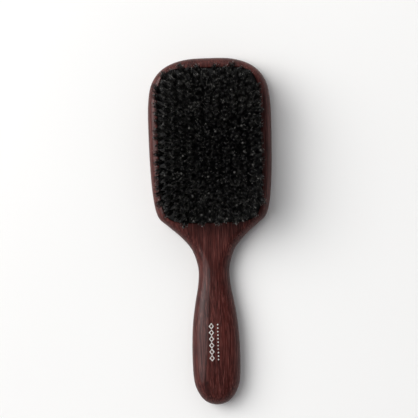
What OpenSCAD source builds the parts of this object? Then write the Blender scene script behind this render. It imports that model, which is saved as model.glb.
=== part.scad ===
// Vanity hairbrush: a lacquered wooden paddle whose head holds a domed rubber air cushion,
// set with bristle tufts. Each tuft has a longer nylon quill and is held by a flat wire anchor.
// The brush lies on its back: bristles up (+Z), head towards +Y, handle towards -Y.
// The origin is under the middle of its length, on the surface that it lies on.

/* [Paddle] */
// Overall length of the brush
paddle_length = 240; // [230:1:250]
// Width of the head
head_width = 85.4; // [85:0.2:92]
// Width of the neck at its narrowest
neck_width = 21.2; // [20:0.2:26]
// Width of the handle at its widest
handle_width = 33; // [30:0.5:38]
// Thickness of the head
head_thickness = 14; // [13:0.5:18]
// Thickness of the neck
neck_thickness = 13.5; // [12:0.5:16]
// Thickness of the handle
handle_thickness = 16; // [13:0.5:20]
// Width of the rounding along the head's edge
head_rounding = 5.5; // [3:0.5:6]
// Width of the rounding along the neck's edge
neck_rounding = 9; // [4:0.5:9]
// Width of the rounding along the handle's edge
handle_rounding = 13; // [5:0.5:13]

/* [Cushion pocket] */
// Width of the opening that the cushion shows through
opening_width = 71; // [68:0.5:72]
// Length of the opening that the cushion shows through
opening_length = 107; // [100:0.5:108]
// Distance from the head's end to the opening
opening_margin = 7; // [6.5:0.5:7.5]
// How square the opening's corners are: 2 is an ellipse
opening_squareness = 6; // [4:0.5:6]
// Thickness of the wooden lip over the cushion's bead
lip_thickness = 1.8; // [1.4:0.1:2.2]
// Radius of the rounding along the lip's upper edge
lip_rounding = 0.7; // [0.3:0.1:1]
// How far the groove runs out under the lip
groove_depth = 1.2; // [0.8:0.1:1.4]
// Height of the groove, and of the cushion's bead in it
groove_height = 2.2; // [1.6:0.1:2.6]
// Wood left under the air chamber
floor_thickness = 5.5; // [3:0.5:6]

/* [Cushion] */
// Height of the cushion's crown above its bead
crown_height = 6.3; // [5:0.1:8]
// Thickness of the rubber
rubber_thickness = 1.6; // [1.2:0.1:2]
// Width of the bead inside the opening
bead_inner_width = 1; // [0.8:0.1:1.7]
// Diameter of the air vent through the rubber
vent_diameter = 1.2; // [0.8:0.1:1.4]

/* [Tufts] */
// Distance between columns of tufts, across the brush
column_pitch = 5.4; // [5.2:0.1:5.4]
// Distance between tufts in a column, along the brush
row_pitch = 5.3; // [5.2:0.1:5.5]
// Diameter of a tuft where it passes through the rubber
tuft_root_diameter = 2.4; // [2:0.1:2.6]
// Diameter of a tuft at its tips
tuft_tip_diameter = 4.2; // [3:0.1:4.4]
// Height of a tuft above the rubber
tuft_height = 16; // [10:0.5:20]
// How far a tuft reaches under the rubber
tuft_tail = 1; // [0.8:0.1:1.4]
// Outward lean of a tuft at the opening's edge, in degrees
edge_lean = 12; // [4:1:14]
// Gap between a tuft and the edge of its hole in the rubber
hole_clearance = 0.05; // [0.02:0.01:0.1]

/* [Quills and anchors] */
// Diameter of a nylon quill
quill_diameter = 0.8; // [0.6:0.1:1]
// Diameter of the ball at a quill's tip
ball_diameter = 1.5; // [1.2:0.1:1.8]
// How far a quill's tip stands above the tuft around it
quill_reach = 2.2; // [1.8:0.1:3]
// Length of an anchor
anchor_length = 3.6; // [3:0.1:3.8]
// Width of an anchor
anchor_width = 1.2; // [0.8:0.1:1.6]
// Thickness of an anchor
anchor_thickness = 0.4; // [0.3:0.05:0.5]

/* [Hidden] */

wood_colour = [0.27, 0.14, 0.13];
rubber_colour = [0.05, 0.05, 0.05];
bristle_colour = [0.10, 0.09, 0.08];
nylon_colour = [0.16, 0.15, 0.15];
anchor_colour = [0.72, 0.72, 0.74];

ring_count = 6;
outline_steps = 5;
rounding_steps = 12;
lip_steps = 4;
opening_points = 64;
$fn = 24;

// Exponents of the cushion's dome: how flat its middle is, and how steep its edge
dome_flatness = 2.6;
dome_steepness = 0.6;
// How far the rubber's bead stays under the lip's lower face, on its inner side
bead_step = 0.3;
// Tufts stand where reach() is less than this
tuft_limit = 0.945;
// Height of a tuft's straight foot above the rubber
tuft_foot = 1.2;
// Height of the taper at a tuft's top, and how much of the width is left there
tuft_taper = 0.9;
tuft_top_scale = 0.75;
// The air vent stands between tufts, this far from the cushion's middle
vent_x = 1.8;

top_y = paddle_length / 2;
// The neck's narrowest place, this far from the head's end
neck_y = top_y - 148;
head_half = head_width / 2;
neck_half = neck_width / 2;
handle_half = handle_width / 2;

opening_half_x = opening_width / 2;
opening_half_y = opening_length / 2;
opening_y = top_y - opening_margin - opening_half_y;
groove_top = head_thickness - lip_thickness;
groove_floor = groove_top - groove_height;
bead_inner_scale = 1 - bead_inner_width / opening_half_x;
tail = rubber_thickness + tuft_tail;
overshoot = 1;

// Half of the paddle's outline, from the middle of the head's end to the middle of the handle's
half_outline = [
    [0, top_y],
    [0.40 * head_half, top_y - 0.9],
    [0.72 * head_half, top_y - 6],
    [0.92 * head_half, top_y - 16],
    [0.99 * head_half, top_y - 30],
    [head_half, neck_y + 98],
    [0.985 * head_half, neck_y + 70],
    [0.945 * head_half, neck_y + 50],
    [0.875 * head_half, neck_y + 38.5],
    [0.73 * head_half, neck_y + 32.5],
    [0.53 * head_half, neck_y + 25],
    [1.45 * neck_half, neck_y + 16.5],
    [1.1 * neck_half, neck_y + 7],
    [neck_half, neck_y - 1],
    [1.09 * neck_half, neck_y - 11],
    [0.81 * handle_half, neck_y - 20.5],
    [0.94 * handle_half, neck_y - 35],
    [handle_half, neck_y - 52],
    [0.985 * handle_half, 21 - top_y],
    [0.86 * handle_half, 11 - top_y],
    [0.52 * handle_half, 2.8 - top_y],
    [0, -top_y]
];

// Thickness and edge rounding at places along the paddle: [y, thickness, rounding]
section_stations = [
    [-top_y, 0.9 * handle_thickness, 0.7 * handle_rounding],
    [neck_y - 52, handle_thickness, handle_rounding],
    [neck_y, neck_thickness, neck_rounding],
    [neck_y + 36, head_thickness, head_rounding],
    [top_y, head_thickness, head_rounding]
];

// A smooth curve through points b and c, with neighbours a and d
function curve_point(a, b, c, d, t) =
    b + t * ((c - a) / 2
        + t * ((2 * a - 5 * b + 4 * c - d) / 2
        + t * (3 * b - a - 3 * c + d) / 2));

function mirrored(p) = [-p[0], p[1]];

// The half outline with a mirrored point added at each end, to carry the curve through
guide = concat(
    [mirrored(half_outline[1])],
    half_outline,
    [mirrored(half_outline[len(half_outline) - 2])]
);

right_side = [
    for (i = [1 : len(guide) - 3])
        for (step = [0 : outline_steps - 1])
            curve_point(guide[i - 1], guide[i], guide[i + 1], guide[i + 2], step / outline_steps)
];
side_count = len(right_side);

// The closed outline, counterclockwise from the middle of the head's end
outline = concat(
    [for (p = right_side) mirrored(p)],
    [half_outline[len(half_outline) - 1]],
    [for (i = [side_count - 1 : -1 : 1]) right_side[i]]
);
outline_count = len(outline);

function unit(v) = v / norm(v);
function wrapped(i) = (i + outline_count) % outline_count;
function inward(i) =
    let (along = unit(outline[wrapped(i + 1)] - outline[wrapped(i - 1)]))
    [-along[1], along[0]];

function eased(t) = t * t * (3 - 2 * t);
function section_at(y, i = 0) =
    let (low = section_stations[i], high = section_stations[i + 1])
    y > high[0] && i < len(section_stations) - 2
        ? section_at(y, i + 1)
        : low + (high - low) * eased(max(0, min(1, (y - low[0]) / (high[0] - low[0]))));

// The outline at one height of the edge rounding: angle -90 is the back face, 90 the front face
function rounded_outline(angle) = [
    for (i = [0 : outline_count - 1])
        let (section = section_at(outline[i][1]))
        let (p = outline[i] + inward(i) * section[2] * (1 - cos(angle)))
        [p[0], p[1], section[1] * (1 + sin(angle)) / 2]
];

function power(value, exponent) = pow(abs(value), exponent);
function signed_power(value, exponent) = sign(value) * power(value, exponent);

// How far out a place is, from 0 at the cushion's middle to 1 at the opening's edge
function reach(x, y) =
    pow(power(x / opening_half_x, opening_squareness)
        + power((y - opening_y) / opening_half_y, opening_squareness), 1 / opening_squareness);

// Points round an oval like the opening, with these half sizes
function oval(half_x, half_y) = [
    for (i = [0 : opening_points - 1])
        let (angle = 360 * i / opening_points)
        [
            half_x * signed_power(cos(angle), 2 / opening_squareness),
            opening_y + half_y * signed_power(sin(angle), 2 / opening_squareness)
        ]
];
function scaled_opening(scale) = oval(scale * opening_half_x, scale * opening_half_y);
function grown_opening(growth) = oval(opening_half_x + growth, opening_half_y + growth);

// Height of the cushion's upper face at a reach
function crown_z(r) =
    groove_top + crown_height * pow(max(0, 1 - pow(r, dome_flatness)), dome_steepness);

// The tufts' places: columns across the brush, every second column half a row further on
columns = floor(opening_half_x / column_pitch);
rows = ceil(opening_half_y / row_pitch);
tuft_places = [
    for (column = [-columns : columns])
        for (row = [-rows : rows])
            let (x = column * column_pitch)
            let (y = opening_y + (row + (abs(column) % 2) / 2) * row_pitch)
            if (reach(x, y) < tuft_limit) [x, y]
];
function ring_of(place) = 1 + floor(ring_count * reach(place[0], place[1]));

// Faces between two closed loops of points. Every loop has count points, counterclockwise
function band(lower, upper, count) = [
    for (i = [0 : count - 1])
        let (next = (i + 1) % count)
        [upper * count + i, upper * count + next, lower * count + next, lower * count + i]
];
function bands(first, last, count) = [for (loop = [first : last - 1]) each band(loop, loop + 1, count)];

// Loops of points at their heights, as one list: each layer is [loop, height]
function stacked(layers) = [for (layer = layers) for (p = layer[0]) [p[0], p[1], layer[1]]];

module wooden_blank() {
    angles = [for (i = [0 : rounding_steps]) -90 + 180 * i / rounding_steps];
    points = [for (angle = angles) each rounded_outline(angle)];
    front_start = rounding_steps * outline_count;
    half = outline_count / 2;
    // Strips across the paddle close the two flat faces
    strips = [
        for (i = [1 : half - 2])
            [i, i + 1, outline_count - i - 1, outline_count - i]
    ];
    back = concat(strips, [[0, 1, outline_count - 1], [half - 1, half, half + 1]]);
    front = [for (face = back) [for (i = [len(face) - 1 : -1 : 0]) front_start + face[i]]];
    polyhedron(points, concat(back, bands(0, rounding_steps, outline_count), front), convexity = 6);
}

// What is cut away above the pocket's floor: the opening, with the lip's upper edge rounded over
module opening_cut() {
    turns = [for (step = [0 : lip_steps]) 90 * step / lip_steps];
    rounding = [
        for (turn = turns)
            [
                grown_opening(lip_rounding * (1 - cos(turn))),
                head_thickness - lip_rounding * (1 - sin(turn))
            ]
    ];
    layers = concat(
        [[grown_opening(0), floor_thickness]],
        rounding,
        [[grown_opening(lip_rounding), head_thickness + overshoot]]
    );
    count = opening_points;
    last = len(layers) - 1;
    bottom = [for (i = [0 : count - 1]) i];
    top = [for (i = [count - 1 : -1 : 0]) last * count + i];
    polyhedron(stacked(layers), concat([bottom], bands(0, last, count), [top]), convexity = 2);
}

module opening_prism(growth, low, high) {
    translate([0, 0, low])
        linear_extrude(high - low)
            polygon(grown_opening(growth));
}

module wooden_paddle() {
    color(wood_colour)
        difference() {
            wooden_blank();
            opening_cut();
            opening_prism(groove_depth, groove_floor, groove_top);
        }
}

// The rubber inside the opening, without its holes: a domed sheet with a thick bead along its edge
module cushion_sheet() {
    // The loops of the dome, from the opening's edge towards its middle
    reaches = [1, 0.985, 0.95, 0.88, 0.78, 0.65, 0.5, 0.34, 0.17];
    top = [for (r = reaches) [scaled_opening(r), crown_z(r)]];
    under = [
        for (i = [len(reaches) - 1 : -1 : 2])
            [scaled_opening(reaches[i]), crown_z(reaches[i]) - rubber_thickness]
    ];
    bead = [
        [scaled_opening(bead_inner_scale), groove_top - bead_step],
        [scaled_opening(bead_inner_scale), groove_floor],
        [scaled_opening(1), groove_floor]
    ];
    layers = concat(top, under, bead);
    count = opening_points;
    last = len(layers) - 1;
    top_end = len(top) - 1;
    top_middle = len(layers) * count;
    under_middle = top_middle + 1;
    points = concat(
        stacked(layers),
        [[0, opening_y, crown_z(0)], [0, opening_y, crown_z(0) - rubber_thickness]]
    );
    top_cap = [
        for (i = [0 : count - 1])
            [top_middle, top_end * count + (i + 1) % count, top_end * count + i]
    ];
    under_cap = [
        for (i = [0 : count - 1])
            [under_middle, (top_end + 1) * count + i, (top_end + 1) * count + (i + 1) % count]
    ];
    walls = concat(bands(0, top_end, count), bands(top_end + 1, last, count), band(last, 0, count));
    polyhedron(points, concat(walls, top_cap, under_cap), convexity = 6);
}

// Puts its children on the cushion at a tuft's place, leaning outwards as the crown does
module at_tuft(place) {
    lean_x = edge_lean * place[0] / opening_half_x;
    lean_y = edge_lean * (place[1] - opening_y) / opening_half_y;
    translate([place[0], place[1], crown_z(reach(place[0], place[1]))])
        rotate([-lean_y, lean_x, 0])
            children();
}

module rubber_cushion() {
    hole_radius = tuft_root_diameter / 2 + hole_clearance;
    color(rubber_colour)
        difference() {
            union() {
                cushion_sheet();
                difference() {
                    opening_prism(groove_depth, groove_floor, groove_top);
                    opening_prism(0, groove_floor - overshoot, groove_top + overshoot);
                }
            }
            for (place = tuft_places)
                at_tuft(place)
                    translate([0, 0, -tail])
                        cylinder(r = hole_radius, h = tail + overshoot);
            translate([vent_x, opening_y + row_pitch / 2, 0])
                cylinder(d = vent_diameter, h = crown_z(0) + overshoot);
        }
}

// One tuft: straight through the rubber, then flaring to its tips, with a bore for its quill
module tuft() {
    root = tuft_root_diameter / 2;
    tip = tuft_tip_diameter / 2;
    bore = quill_diameter / 2;
    rotate_extrude()
        polygon([
            [bore, -tail],
            [root, -tail],
            [root, tuft_foot],
            [tip, tuft_height - tuft_taper],
            [tuft_top_scale * tip, tuft_height],
            [bore, tuft_height]
        ]);
}

// One quill: a round shaft up the middle of a tuft, with a ball on its end
module quill() {
    ball_z = tuft_height + quill_reach - ball_diameter / 2;
    translate([0, 0, -tail])
        cylinder(d = quill_diameter, h = tail + ball_z);
    translate([0, 0, ball_z])
        sphere(d = ball_diameter);
}

// One anchor: a flat wire across the foot of a tuft, under the rubber
module anchor() {
    translate([-anchor_width / 2, -anchor_length / 2, -tail - anchor_thickness])
        cube([anchor_width, anchor_length, anchor_thickness]);
}

module on_each_tuft(ring) {
    for (place = tuft_places)
        if (ring_of(place) == ring)
            at_tuft(place)
                children();
}

module bristle_tufts(ring) {
    color(bristle_colour)
        on_each_tuft(ring)
            tuft();
}

module nylon_quills(ring) {
    color(nylon_colour)
        on_each_tuft(ring)
            quill();
}

module wire_anchors(ring) {
    color(anchor_colour)
        on_each_tuft(ring)
            anchor();
}

wooden_paddle();
rubber_cushion();
for (ring = [1 : ring_count]) {
    bristle_tufts(ring);
    nylon_quills(ring);
    wire_anchors(ring);
}
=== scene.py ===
"""Looks of the vanity hairbrush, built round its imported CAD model. Lengths are in metres, +Z is up.

The brush lies on its back with the bristles up. The wooden paddle, the rubber cushion, every
bristle and every quill are made here at the places that the CAD solids hold; the wire anchors stay
CAD nodes.
"""

import math

import bmesh
import bpy
import numpy as np
from mathutils import Matrix, Vector
from mathutils.bvhtree import BVHTree


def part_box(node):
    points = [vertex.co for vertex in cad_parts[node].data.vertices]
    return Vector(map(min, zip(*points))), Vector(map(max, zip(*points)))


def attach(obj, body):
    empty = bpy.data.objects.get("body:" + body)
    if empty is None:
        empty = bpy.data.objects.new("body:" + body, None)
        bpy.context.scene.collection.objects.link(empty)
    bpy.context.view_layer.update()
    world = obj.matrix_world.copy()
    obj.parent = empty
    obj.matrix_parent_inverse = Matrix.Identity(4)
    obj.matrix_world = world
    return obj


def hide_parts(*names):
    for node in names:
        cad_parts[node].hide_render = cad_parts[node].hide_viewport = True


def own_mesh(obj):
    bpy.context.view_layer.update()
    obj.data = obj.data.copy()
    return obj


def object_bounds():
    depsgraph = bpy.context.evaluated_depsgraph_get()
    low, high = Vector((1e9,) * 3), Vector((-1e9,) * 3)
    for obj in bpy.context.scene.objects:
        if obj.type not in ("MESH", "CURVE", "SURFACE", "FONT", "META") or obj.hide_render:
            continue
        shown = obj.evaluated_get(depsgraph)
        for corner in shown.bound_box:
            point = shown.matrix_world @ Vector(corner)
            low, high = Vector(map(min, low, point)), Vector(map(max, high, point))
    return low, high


MM = 0.001
RINGS = range(1, 7)
RANDOM_SEED = 20

# Camera: almost straight down on the bristles, a little from the brush's right and rolled a little
VIEW_DISTANCE = 1.3
VIEW_WIDTH = 288 * MM
VIEW_FROM_RIGHT = math.radians(3.3)
VIEW_ROLL = math.radians(-1.7)
VIEW_CENTRE = Vector((-1.75 * MM, 15.5 * MM, 14 * MM))
SENSOR_WIDTH_MM = 36
FARTHEST_SEEN = 20

# The floor and the light round the brush
FLOOR_SIZE = 12
LIT_POINT = (0, 0.03, 0.01)
WINDOW_ANGLE = math.radians(60)
HORIZON_COLOUR = (0.80, 0.80, 0.81)
CEILING_COLOUR = (0.13, 0.133, 0.14)
CEILING_STARTS = 0.8

# Corners of a CAD mesh nearer than this are one, and edges sharper than these angles stay sharp
WELD_DISTANCE = 0.002 * MM
WOOD_SHARP_ANGLE = math.radians(40)
RUBBER_SHARP_ANGLE = math.radians(50)

# The cushion, as in the CAD model
OPENING_HALF_X = 35.5 * MM
OPENING_HALF_Y = 53.5 * MM
OPENING_SQUARENESS = 6
GROOVE_DEPTH = 1.2 * MM
GROOVE_HEIGHT = 2.2 * MM
BEAD_INNER_WIDTH = 1 * MM
CROWN_HEIGHT = 6.3 * MM
CROWN_FLATNESS = 2.6
CROWN_FULLNESS = 0.6
RUBBER_THICKNESS = 1.6 * MM

# The cushion's mesh: its loops, the underside's outer end and the dimple that each tuft makes
CUSHION_POINTS_ROUND = 224
CUSHION_LAYERS = 52
CUSHION_INNERMOST = 0.02
UNDERSIDE_REACH = 0.955
UNDERSIDE_STEP = 0.3 * MM
DIMPLE_DEPTH = 0.35 * MM
DIMPLE_RADIUS = 1.7 * MM

# The tufts: each is round, fans out from root to tip, and stands on an anchor below the rubber
TUFT_TAIL = 2.6 * MM
TUFT_ROOT_RADIUS = 1.02 * MM
ANCHOR_GAP = 0.1 * MM
TUFT_TIP_RADIUS = 3.5 * MM
EDGE_TUFT_TIP_RADIUS = 3.1 * MM
TUFT_CROWN = 1 * MM
TUFT_CROWN_MIDDLE = 0.4
TUFT_SWAY = 0.5 * MM
LOCKS_PER_TUFT = 60
LOCK_LIFT = 0.35 * MM
LOCK_SHADE = 0.25

# The bristles: their thickness, their scatter within a lock, and how they fan out and taper
BRISTLES_PER_LOCK = 2
BRISTLE_SIDES = 3
BRISTLE_RADIUS = 0.1 * MM
BRISTLE_THINNEST = 0.8
BRISTLE_THICKEST = 1.15
BRISTLE_ROOT_SCATTER = 0.12 * MM
BRISTLE_TIP_SCATTER = 0.25 * MM
BRISTLE_LIFT = 0.3 * MM
BRISTLE_STEPS = (0, 0.3, 0.7, 1)
BRISTLE_TAPER = np.array((1, 1, 0.9, 0.55))
FAN_POWER = 1.2

# The quills: the shaft's shares of QUILL_RADIUS halfway up and at the ball, and the ball's profile
QUILL_SIDES = 10
QUILL_RADIUS = 0.38 * MM
QUILL_HALFWAY_SHARE = 0.9
QUILL_NECK_SHARE = 0.8
QUILL_BALL_RADIUS = 0.75 * MM
QUILL_BALL_ANGLES = np.radians(np.linspace(-55, 80, 8))
QUILL_BEND = 0.5 * MM

# The printed mark on the handle: a chain of open diamonds beside a row of dots
MARK_TOP = -63 * MM
CHAIN_X = -2.5 * MM
DIAMONDS = 6
DIAMOND_WIDTH = 3.6 * MM
DIAMOND_LENGTH = 4.4 * MM
DIAMOND_STROKE = 0.22
DIAMOND_SIDE_PARTS = 6
DOTS_X = 1.9 * MM
DOTS = 11
DOT_RADIUS = 0.5 * MM
DOT_SIDES = 12
INK_HEIGHT = 0.04 * MM
INK_DEPTH = 0.08 * MM

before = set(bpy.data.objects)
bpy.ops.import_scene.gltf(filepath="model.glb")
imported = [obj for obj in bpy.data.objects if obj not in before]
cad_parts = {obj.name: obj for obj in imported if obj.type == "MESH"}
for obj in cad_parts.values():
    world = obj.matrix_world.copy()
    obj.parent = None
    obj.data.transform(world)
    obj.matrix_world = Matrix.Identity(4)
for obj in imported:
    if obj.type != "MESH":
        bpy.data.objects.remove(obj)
cad_low, cad_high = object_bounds()
chance = np.random.default_rng(RANDOM_SEED)


# ---------------------------------------------------------------- camera, floor and light

def make_camera():
    """A long lens looking down on the front of the brush."""
    data = bpy.data.cameras.new("camera")
    data.sensor_width = SENSOR_WIDTH_MM
    data.lens = SENSOR_WIDTH_MM * VIEW_DISTANCE / VIEW_WIDTH
    data.clip_end = FARTHEST_SEEN
    camera = bpy.data.objects.new("camera", data)
    bpy.context.scene.collection.objects.link(camera)
    back = Vector((math.sin(VIEW_FROM_RIGHT), 0, math.cos(VIEW_FROM_RIGHT)))
    up = Matrix.Rotation(VIEW_ROLL, 3, "Z") @ Vector((0, 1, 0))
    right = up.cross(back).normalized()
    true_up = back.cross(right)
    turn = Matrix((right, true_up, back)).transposed().to_4x4()
    camera.matrix_world = Matrix.Translation(VIEW_CENTRE + back * VIEW_DISTANCE) @ turn
    bpy.context.scene.camera = camera


def make_light(name, place, size, watts, colour):
    """A soft rectangular lamp at place that faces the brush."""
    data = bpy.data.lights.new(name, "AREA")
    data.shape = "RECTANGLE"
    data.size, data.size_y = size
    data.energy = watts
    data.color = colour
    lamp = bpy.data.objects.new(name, data)
    bpy.context.scene.collection.objects.link(lamp)
    lamp.location = place
    onward = Vector(LIT_POINT) - Vector(place)
    lamp.rotation_euler = onward.to_track_quat("-Z", "Y").to_euler()
    lamp.visible_camera = False


def make_window_light(place, strength):
    """Light as from a large far window towards place, so that the floor is lit far out too."""
    data = bpy.data.lights.new("window", "SUN")
    data.energy = strength
    data.angle = WINDOW_ANGLE
    lamp = bpy.data.objects.new("window", data)
    bpy.context.scene.collection.objects.link(lamp)
    lamp.rotation_euler = (-Vector(place)).to_track_quat("-Z", "Y").to_euler()


def make_surround():
    """A surround that is pale at the horizon and dark overhead, like a room's dark ceiling."""
    world = bpy.data.worlds.new("surround")
    world.use_nodes = True
    tree = world.node_tree
    place = tree.nodes.new("ShaderNodeTexCoord")
    split = tree.nodes.new("ShaderNodeSeparateXYZ")
    ramp = tree.nodes.new("ShaderNodeValToRGB")
    horizon, ceiling = ramp.color_ramp.elements
    horizon.position = 0
    horizon.color = (*HORIZON_COLOUR, 1)
    ceiling.position = CEILING_STARTS
    ceiling.color = (*CEILING_COLOUR, 1)
    tree.links.new(place.outputs["Generated"], split.inputs["Vector"])
    tree.links.new(split.outputs["Z"], ramp.inputs["Fac"])
    tree.links.new(ramp.outputs["Color"], tree.nodes["Background"].inputs["Color"])
    bpy.context.scene.world = world


def make_stage():
    """A plain pale floor under the brush, the surround and three soft lights."""
    bpy.ops.mesh.primitive_plane_add(size=FLOOR_SIZE, location=(0, 0, cad_low.z))
    floor = bpy.context.object
    floor.name = "floor"
    floor.data.materials.append(floor_material())
    make_surround()
    make_light("key", (-1.15, 0.62, 0.95), size=(1.1, 1.1), watts=12, colour=(1, 0.985, 0.96))
    make_light("end", (0.1, 1.4, 1.1), size=(2, 1), watts=5, colour=(1, 1, 1))
    make_window_light((-1, 0.35, 1.15), strength=2)


# ---------------------------------------------------------------- materials

class Surface:
    """A node material being put together: node() adds a node, and link() joins two sockets."""

    def __init__(self, name, roughness, specular=0.5, coat=0, coat_roughness=0.1):
        self.material = bpy.data.materials.new(name)
        self.material.use_nodes = True
        self.tree = self.material.node_tree
        self.shader = self.tree.nodes["Principled BSDF"]
        self.shader.inputs["Roughness"].default_value = roughness
        self.shader.inputs["Specular IOR Level"].default_value = specular
        self.shader.inputs["Coat Weight"].default_value = coat
        self.shader.inputs["Coat Roughness"].default_value = coat_roughness
        self.place = self.node("ShaderNodeTexCoord").outputs["Object"]

    def node(self, kind, **settings):
        made = self.tree.nodes.new(kind)
        for name, value in settings.items():
            setattr(made, name, value)
        return made

    def link(self, output, target):
        self.tree.links.new(output, target)

    def stretched(self, scale):
        """The object's own coordinates, in metres, times a scale along each axis."""
        mapping = self.node("ShaderNodeMapping")
        mapping.inputs["Scale"].default_value = scale
        self.link(self.place, mapping.inputs["Vector"])
        return mapping.outputs["Vector"]

    def noise(self, scale, detail=3, distortion=0.0, roughness=0.5):
        """Noise whose spots measure about 1 / scale metres along each axis."""
        noise = self.node("ShaderNodeTexNoise")
        noise.inputs["Scale"].default_value = 1
        noise.inputs["Detail"].default_value = detail
        noise.inputs["Roughness"].default_value = roughness
        noise.inputs["Distortion"].default_value = distortion
        self.link(self.stretched(scale), noise.inputs["Vector"])
        return noise.outputs["Fac"]

    def ramp(self, value, *stops):
        """Colours along a value from 0 to 1: each stop is a position and a linear colour."""
        ramp = self.node("ShaderNodeValToRGB")
        points = ramp.color_ramp.elements
        while len(points) < len(stops):
            points.new(0.5)
        for point, (position, colour) in zip(points, stops):
            point.position = position
            point.color = (*colour, 1)
        self.link(value, ramp.inputs["Fac"])
        return ramp.outputs["Color"]

    def mix(self, kind, amount, a, b):
        """Colours a and b mixed; amount is a number or a socket."""
        mix = self.node("ShaderNodeMix", data_type="RGBA", blend_type=kind)
        if isinstance(amount, (int, float)):
            mix.inputs["Factor"].default_value = amount
        else:
            self.link(amount, mix.inputs["Factor"])
        self.link(a, mix.inputs["A"])
        self.link(b, mix.inputs["B"])
        return mix.outputs["Result"]

    def plain(self, colour):
        """A single colour, as a socket to mix with."""
        plain = self.node("ShaderNodeRGB")
        plain.outputs[0].default_value = (*colour, 1)
        return plain.outputs[0]

    def attribute(self, name):
        return self.node("ShaderNodeAttribute", attribute_name=name).outputs["Fac"]

    def bump(self, height, strength, distance, target="Normal"):
        bump = self.node("ShaderNodeBump")
        bump.inputs["Strength"].default_value = strength
        bump.inputs["Distance"].default_value = distance
        self.link(height, bump.inputs["Height"])
        self.link(bump.outputs["Normal"], self.shader.inputs[target])

    def colour(self, output):
        self.link(output, self.shader.inputs["Base Color"])
        return self.material


def grey(value):
    return (value, value, value)


def floor_material():
    surface = Surface("pale_floor", 0.6)
    cloud = surface.noise((3, 3, 3), detail=2)
    return surface.colour(surface.ramp(cloud, (0.3, (0.89, 0.885, 0.875)),
                                       (0.7, (0.92, 0.915, 0.905))))


def wood_material():
    """Dark red-brown wood with fine broken streaks along the brush, under a clear lacquer."""
    surface = Surface("lacquered_wood", 0.5, specular=0.1, coat=0.28, coat_roughness=0.16)
    bands = surface.noise((70, 5, 70), detail=4, distortion=0.4)
    streaks = surface.noise((640, 24, 640), detail=4, distortion=0.1, roughness=0.6)
    threads = surface.noise((1500, 50, 1500), roughness=0.6)
    pores = surface.noise((2600, 150, 2600), detail=2)
    unevenness = surface.noise((120, 90, 120), detail=2)
    ground = surface.ramp(bands, (0.32, (0.023, 0.0028, 0.0019)),
                          (0.52, (0.040, 0.0057, 0.0042)), (0.70, (0.066, 0.0108, 0.0078)))
    pale = surface.ramp(streaks, (0.44, grey(0)), (0.72, grey(0.62)))
    streaked = surface.mix("MIX", pale, ground, surface.plain((0.125, 0.028, 0.022)))
    bright = surface.ramp(threads, (0.50, grey(0)), (0.76, grey(0.7)))
    threaded = surface.mix("MIX", bright, streaked, surface.plain((0.220, 0.075, 0.064)))
    dark = surface.ramp(pores, (0.34, grey(0.35)), (0.52, grey(1)))
    surface.bump(pores, strength=0.15, distance=0.05 * MM)
    surface.bump(unevenness, strength=0.06, distance=0.4 * MM, target="Coat Normal")
    return surface.colour(surface.mix("MULTIPLY", 0.85, threaded, dark))


def rubber_material():
    """Matte black moulded rubber with a faint bloom."""
    surface = Surface("black_rubber", 0.7, specular=0.2)
    bloom = surface.noise((70, 70, 70), detail=4)
    grain = surface.noise((2200, 2200, 2200), detail=2)
    surface.bump(grain, strength=0.2, distance=0.03 * MM)
    return surface.colour(surface.ramp(bloom, (0.3, grey(0.0035)), (0.75, grey(0.0075))))


def bristle_material():
    """Black natural bristle, near black along its length; its tip is paler, partly the bristle's own
    pale tip and partly a painted highlight of lit tips.
    """
    surface = Surface("black_bristle", 0.5, specular=0.22)
    # Each bristle's tip tone, near black to pale grey: partly its own tone, and in the palest stops a
    # painted highlight of lit tips
    each = surface.ramp(surface.attribute("shade"), (0.0, grey(0.003)),
                        (0.50, (0.014, 0.0137, 0.0128)), (0.75, (0.070, 0.0685, 0.0645)),
                        (0.92, (0.240, 0.235, 0.221)), (1.0, (0.680, 0.668, 0.630)))
    # Only the top of each bristle takes that tip tone, own colour and painted highlight together; the
    # rest stays near black
    pale_and_lit_tips = surface.ramp(surface.attribute("along"), (0.78, grey(0)), (1.0, grey(1)))
    return surface.colour(surface.mix("MIX", pale_and_lit_tips, surface.plain((0.0045, 0.0045, 0.0042)), each))


def nylon_material():
    """Black nylon: most quills are near black, and a few are greyer."""
    surface = Surface("black_nylon", 0.42, specular=0.2)
    return surface.colour(surface.ramp(surface.attribute("shade"), (0.0, grey(0.004)),
                                       (0.80, grey(0.010)), (1.0, (0.070, 0.0685, 0.064))))


def ink_material():
    """Off-white printed ink, a little worn."""
    surface = Surface("printed_ink", 0.45, specular=0.4, coat=0.5, coat_roughness=0.2)
    wear = surface.noise((900, 900, 900))
    return surface.colour(surface.ramp(wear, (0.36, (0.36, 0.31, 0.29)),
                                       (0.50, (0.62, 0.60, 0.57))))


def wire_material():
    """Bright drawn steel wire."""
    surface = Surface("steel_wire", 0.3)
    surface.shader.inputs["Metallic"].default_value = 1
    drawn = surface.noise((4000, 300, 4000), detail=2)
    return surface.colour(surface.ramp(drawn, (0.3, (0.50, 0.50, 0.52)), (0.7, (0.66, 0.66, 0.68))))


# ---------------------------------------------------------------- mesh helpers

def linked(name, mesh, material):
    """A new object in the scene with this mesh and material."""
    mesh.materials.append(material)
    piece = bpy.data.objects.new(name, mesh)
    bpy.context.scene.collection.objects.link(piece)
    return piece


def piece_from(name, vertices, faces, material):
    """A new object, shaded smooth, with these corners and faces."""
    mesh = bpy.data.meshes.new(name)
    mesh.from_pydata(vertices, [], faces)
    mesh.shade_smooth()
    mesh.update()
    return linked(name, mesh, material)


def welded(node):
    """A CAD node's mesh as a bmesh, with the corners that its faces share joined."""
    joined = bmesh.new()
    joined.from_mesh(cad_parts[node].data)
    bmesh.ops.remove_doubles(joined, verts=joined.verts, dist=WELD_DISTANCE)
    joined.verts.index_update()
    return joined


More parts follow.
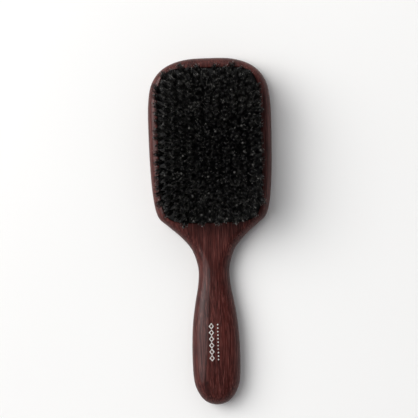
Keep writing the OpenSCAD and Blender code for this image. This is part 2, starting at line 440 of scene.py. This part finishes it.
def solids(node):
    """The corner points of each separate solid of a CAD node."""
    joined = welded(node)
    seen = set()
    found = []
    for start in joined.verts:
        if start.index in seen:
            continue
        seen.add(start.index)
        waiting = [start]
        points = []
        while waiting:
            corner = waiting.pop()
            points.append(tuple(corner.co))
            for edge in corner.link_edges:
                other = edge.other_vert(corner)
                if other.index not in seen:
                    seen.add(other.index)
                    waiting.append(other)
        found.append(np.array(points))
    joined.free()
    return found


def axis_of(points):
    """The two ends of the long axis of a round solid, lower end first."""
    centre = points.mean(0)
    along = np.linalg.svd(points - centre, full_matrices=False)[2][0]
    along = along * np.sign(along[2])
    reach = (points - centre) @ along
    return centre + along * reach.min(), centre + along * reach.max()


def side_directions(along):
    """Two unit vectors across each direction in an array of them."""
    first = np.cross(along, np.array((0.0, 1.0, 0.0)))
    first /= np.linalg.norm(first, axis=-1, keepdims=True)
    return first, np.cross(along, first)


def tubes(name, lines, radii, sides, material):
    """One piece of many closed tubes: lines is tubes x points x 3, radii is tubes x points."""
    count, points, _ = lines.shape
    along = lines[:, -1] - lines[:, 0]
    along /= np.linalg.norm(along, axis=-1, keepdims=True)
    first, second = side_directions(along)
    turns = 2 * math.pi * np.arange(sides) / sides
    across = np.cos(turns)[None, :, None] * first[:, None]
    across = across + np.sin(turns)[None, :, None] * second[:, None]
    corners = lines[:, :, None] + radii[:, :, None, None] * across[:, None]
    index = np.arange(count * points * sides).reshape(count, points, sides)
    onward = np.roll(index, -1, axis=2)
    walls = np.stack((index[:, :-1], onward[:, :-1], onward[:, 1:], index[:, 1:]), -1)
    faces = walls.reshape(-1, 4).tolist() + index[:, 0, ::-1].tolist() + index[:, -1].tolist()
    return piece_from(name, corners.reshape(-1, 3), faces, material)


def store(piece, name, values):
    """A number on each of a piece's points, for its material to read."""
    layer = piece.data.attributes.new(name, "FLOAT", "POINT")
    layer.data.foreach_set("value", values.astype(np.float32).ravel())


# ---------------------------------------------------------------- wooden paddle

def make_paddle():
    """The paddle's own shape, shaded smooth round its edges and sharp at its pocket."""
    joined = welded("wooden_paddle")
    vertices = [tuple(v.co) for v in joined.verts]
    faces = [[v.index for v in face.verts] for face in joined.faces]
    joined.free()
    paddle = piece_from("lacquered_paddle", vertices, faces, wood_material())
    paddle.data.set_sharp_from_angle(angle=WOOD_SHARP_ANGLE)
    even = paddle.modifiers.new("even_normals", "WEIGHTED_NORMAL")
    even.keep_sharp = True
    even.weight = 100  # the largest faces set the direction at each corner
    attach(paddle, "paddle")
    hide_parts("wooden_paddle")
    make_mark(BVHTree.FromPolygons(vertices, faces))


def diamond(y, scale):
    """Points round a diamond of the chain, its sides cut into short parts that follow the wood."""
    half_x = scale * DIAMOND_WIDTH / 2
    half_y = scale * DIAMOND_LENGTH / 2
    x = CHAIN_X
    corners = np.array(((x + half_x, y), (x, y + half_y), (x - half_x, y), (x, y - half_y)))
    onward = np.roll(corners, -1, axis=0)
    parts = range(DIAMOND_SIDE_PARTS)
    return [a + (b - a) * i / len(parts) for a, b in zip(corners, onward) for i in parts]


def dot(y):
    """Points round a dot of the row."""
    turns = [2 * math.pi * i / DOT_SIDES for i in range(DOT_SIDES)]
    spokes = [(DOT_RADIUS * math.cos(turn), DOT_RADIUS * math.sin(turn)) for turn in turns]
    return [(DOTS_X + across, y + along) for across, along in spokes]


def make_mark(wood):
    """A plain printed ornament on the handle, in thin raised ink that follows the wood."""
    ink = bmesh.new()

    def laid(loop, lift):
        """The points of a flat loop, dropped on the wood and lifted by this much."""
        down = Vector((0, 0, -1))
        tops = [wood.ray_cast(Vector((x, y, cad_high.z)), down)[0] for x, y in loop]
        return [ink.verts.new((top.x, top.y, top.z + lift)) for top in tops]

    def joined(lower, upper):
        """Faces between two loops with the same number of points."""
        for i in range(len(lower)):
            onward = (i + 1) % len(lower)
            ink.faces.new((lower[i], lower[onward], upper[onward], upper[i]))

    for i in range(DIAMONDS):
        y = MARK_TOP - (i + 0.5) * DIAMOND_LENGTH
        outer = diamond(y, 1)
        inner = diamond(y, 1 - 2 * DIAMOND_STROKE)
        top_outer, top_inner = laid(outer, INK_HEIGHT), laid(inner, INK_HEIGHT)
        foot_outer, foot_inner = laid(outer, -INK_DEPTH), laid(inner, -INK_DEPTH)
        joined(foot_outer, top_outer)
        joined(top_outer, top_inner)
        joined(top_inner, foot_inner)
        joined(foot_inner, foot_outer)
    for i in range(DOTS):
        loop = dot(MARK_TOP - (i + 0.5) * DIAMONDS * DIAMOND_LENGTH / DOTS)
        top, foot = laid(loop, INK_HEIGHT), laid(loop, -INK_DEPTH)
        joined(foot, top)
        ink.faces.new(top)
        ink.faces.new(foot[::-1])
    mesh = bpy.data.meshes.new("printed_mark")
    ink.to_mesh(mesh)
    ink.free()
    mark = linked("printed_mark", mesh, ink_material())
    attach(mark, "paddle")


# ---------------------------------------------------------------- rubber cushion

def crown(reach):
    """Height of the rubber above its bead, from its middle (0) to the opening's edge (1)."""
    return CROWN_HEIGHT * np.maximum(0, 1 - reach ** CROWN_FLATNESS) ** CROWN_FULLNESS


def opening_loop():
    """Points round the pocket's opening, about its middle."""
    turns = 2 * math.pi * np.arange(CUSHION_POINTS_ROUND) / CUSHION_POINTS_ROUND
    power = 2 / OPENING_SQUARENESS
    x = OPENING_HALF_X * np.sign(np.cos(turns)) * np.abs(np.cos(turns)) ** power
    y = OPENING_HALF_Y * np.sign(np.sin(turns)) * np.abs(np.sin(turns)) ** power
    return np.stack((x, y), -1)


def cushion_layers(bead_top):
    """The loops round the rubber, from the bead over the top and the underside back to the bead.

    Each is its scale, its height and whether the tufts dimple it.
    """
    bead_floor = bead_top - GROOVE_HEIGHT
    outer = 1 + GROOVE_DEPTH / np.array((OPENING_HALF_X, OPENING_HALF_Y))
    inner = 1 - BEAD_INNER_WIDTH / OPENING_HALF_X
    reaches = np.sin(np.linspace(0.5 * math.pi, CUSHION_INNERMOST, CUSHION_LAYERS))
    under = [reach for reach in reaches[::-1] if reach < UNDERSIDE_REACH]
    layers = [(outer, bead_floor, False), (outer, bead_top, False)]
    layers += [(reach, bead_top + crown(reach), True) for reach in reaches]
    layers += [(reach, bead_top + crown(reach) - RUBBER_THICKNESS, False) for reach in under]
    layers += [(inner, bead_top - UNDERSIDE_STEP, False), (inner, bead_floor, False)]
    return layers


def at_rubber(foot, tip):
    """Where a tuft comes out of the rubber."""
    return foot + (tip - foot) * TUFT_TAIL / np.linalg.norm(tip - foot)


def make_cushion(tufts):
    """A domed rubber sheet, dimpled round each tuft, with a bead in the wood's groove."""
    low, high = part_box("rubber_cushion")
    middle = (low + high) / 2
    bead_top = high.z - CROWN_HEIGHT
    layers = cushion_layers(bead_top)
    places = np.array([at_rubber(foot, tip) for foot, tip in tufts])
    loop = opening_loop()
    vertices = []
    for scale, z, dimpled in layers:
        outline = loop * scale + np.array(middle.xy)
        height = np.full(len(outline), z)
        if dimpled:
            gap = np.linalg.norm(outline[:, None] - places[None, :, :2], axis=-1).min(1)
            height -= DIMPLE_DEPTH * np.exp(-((gap / DIMPLE_RADIUS) ** 2))
        vertices.append(np.column_stack((outline, height)))
    index = np.arange(len(layers) * len(loop)).reshape(-1, len(loop))
    onward = np.roll(index, -1, axis=1)
    faces = np.stack((index[:-1], onward[:-1], onward[1:], index[1:]), -1).reshape(-1, 4).tolist()
    faces += np.stack((index[-1], onward[-1], onward[0], index[0]), -1).tolist()
    cushion = piece_from("air_cushion", np.concatenate(vertices), faces, rubber_material())
    cushion.data.set_sharp_from_angle(angle=RUBBER_SHARP_ANGLE)
    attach(cushion, "paddle")
    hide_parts("rubber_cushion")
    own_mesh(cushion)


# ---------------------------------------------------------------- tufts and quills

def bristle_lines(foot, tip, tip_radius):
    """Centre lines of one tuft's bristles, and each one's shade from 0 to 1, which sets its tip's own
    tone and painted highlight.

    They start just above the anchor, packed together, go through the rubber and fan out above it.
    They gather in locks, and a lock has its own height and shade. The middle of the tuft stands
    higher than its rim, and the tuft sways a little.
    """
    count = LOCKS_PER_TUFT * BRISTLES_PER_LOCK
    along = (tip - foot) / np.linalg.norm(tip - foot)
    first, second = side_directions(along)
    root = foot + along * ANCHOR_GAP
    turn = chance.uniform(0, 2 * math.pi, LOCKS_PER_TUFT)
    out = np.sqrt(chance.uniform(0, 1, LOCKS_PER_TUFT))
    lock = np.stack((np.cos(turn), np.sin(turn)), -1) * out[:, None]
    lock = np.repeat(lock, BRISTLES_PER_LOCK, axis=0)
    at_root = lock * TUFT_ROOT_RADIUS + chance.normal(0, BRISTLE_ROOT_SCATTER, (count, 2))
    at_tip = lock * tip_radius + chance.normal(0, BRISTLE_TIP_SCATTER, (count, 2))
    far_out = np.linalg.norm(at_tip, axis=1) / tip_radius
    at_tip += chance.normal(0, TUFT_SWAY, 2)
    lift = np.repeat(chance.normal(0, LOCK_LIFT, LOCKS_PER_TUFT), BRISTLES_PER_LOCK)
    lift += chance.normal(0, BRISTLE_LIFT, count)
    lift += TUFT_CROWN * (TUFT_CROWN_MIDDLE - far_out ** 2)
    length = np.linalg.norm(tip - root) + lift
    shade = np.repeat(chance.uniform(-LOCK_SHADE, LOCK_SHADE, LOCKS_PER_TUFT), BRISTLES_PER_LOCK)
    shade = np.clip(shade + chance.uniform(0, 1, count), 0, 1)
    lines = []
    for step in BRISTLE_STEPS:
        side = at_root + (at_tip - at_root) * step ** FAN_POWER
        point = root + along * (length * step)[:, None]
        lines.append(point + side[:, :1] * first + side[:, 1:] * second)
    return np.stack(lines, 1), shade


def make_tufts(ring, tufts, material):
    """One ring's tufts as one piece; those at the cushion's edge fan out less."""
    tip_radius = EDGE_TUFT_TIP_RADIUS if ring == RINGS[-1] else TUFT_TIP_RADIUS
    made = [bristle_lines(foot, tip, tip_radius) for foot, tip in tufts]
    lines = np.concatenate([lines for lines, _ in made])
    shades = np.concatenate([shade for _, shade in made])
    radius = BRISTLE_RADIUS * chance.uniform(BRISTLE_THINNEST, BRISTLE_THICKEST, len(lines))
    radii = radius[:, None] * BRISTLE_TAPER
    piece = tubes(f"bristles_ring_{ring}", lines, radii, BRISTLE_SIDES, material)
    points = len(BRISTLE_STEPS)
    along = np.repeat(np.linspace(0, 1, points), BRISTLE_SIDES)
    store(piece, "shade", np.repeat(shades, points * BRISTLE_SIDES))
    store(piece, "along", np.tile(along, len(lines)))
    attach(piece, f"ring_{ring}")
    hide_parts(f"bristle_tufts_ring_{ring}")


def quill_profile(length):
    """Distances along a quill from its foot, and its radius at each of them."""
    ball = length - QUILL_BALL_RADIUS
    along_ball = ball + QUILL_BALL_RADIUS * np.sin(QUILL_BALL_ANGLES)
    ball_radius = QUILL_BALL_RADIUS * np.cos(QUILL_BALL_ANGLES)
    ball_radius[0] = QUILL_NECK_SHARE * QUILL_RADIUS
    along = np.concatenate(((0, length / 2), along_ball))
    radius = np.concatenate(((QUILL_RADIUS, QUILL_HALFWAY_SHARE * QUILL_RADIUS), ball_radius))
    return along, radius


def make_quills(ring, quills, material):
    """One ring's quills as one piece, each with a slight bend of its own."""
    lines = []
    radii = []
    for foot, tip in quills:
        length = np.linalg.norm(tip - foot)
        along = (tip - foot) / length
        first, second = side_directions(along)
        distance, radius = quill_profile(length)
        lean = chance.normal(0, QUILL_BEND, 2)
        bend = (distance / length)[:, None] ** 2 * (lean[0] * first + lean[1] * second)
        lines.append(foot + distance[:, None] * along + bend)
        radii.append(radius)
    piece = tubes(f"quills_ring_{ring}", np.array(lines), np.array(radii), QUILL_SIDES, material)
    shades = chance.uniform(0, 1, len(quills))
    store(piece, "shade", np.repeat(shades, len(piece.data.vertices) // len(quills)))
    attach(piece, f"ring_{ring}")
    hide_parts(f"nylon_quills_ring_{ring}")


def make_brush():
    """Every piece of the brush."""
    make_paddle()
    bristle, nylon, wire = bristle_material(), nylon_material(), wire_material()
    every_tuft = []
    for ring in RINGS:
        tufts = [axis_of(points) for points in solids(f"bristle_tufts_ring_{ring}")]
        quills = [axis_of(points) for points in solids(f"nylon_quills_ring_{ring}")]
        make_tufts(ring, tufts, bristle)
        make_quills(ring, quills, nylon)
        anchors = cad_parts[f"wire_anchors_ring_{ring}"]
        anchors.data.materials.clear()
        anchors.data.materials.append(wire)
        every_tuft += tufts
    make_cushion(every_tuft)


make_camera()
make_stage()
make_brush()
bpy.context.scene.view_settings.view_transform = "Standard"
bpy.context.view_layer.update()
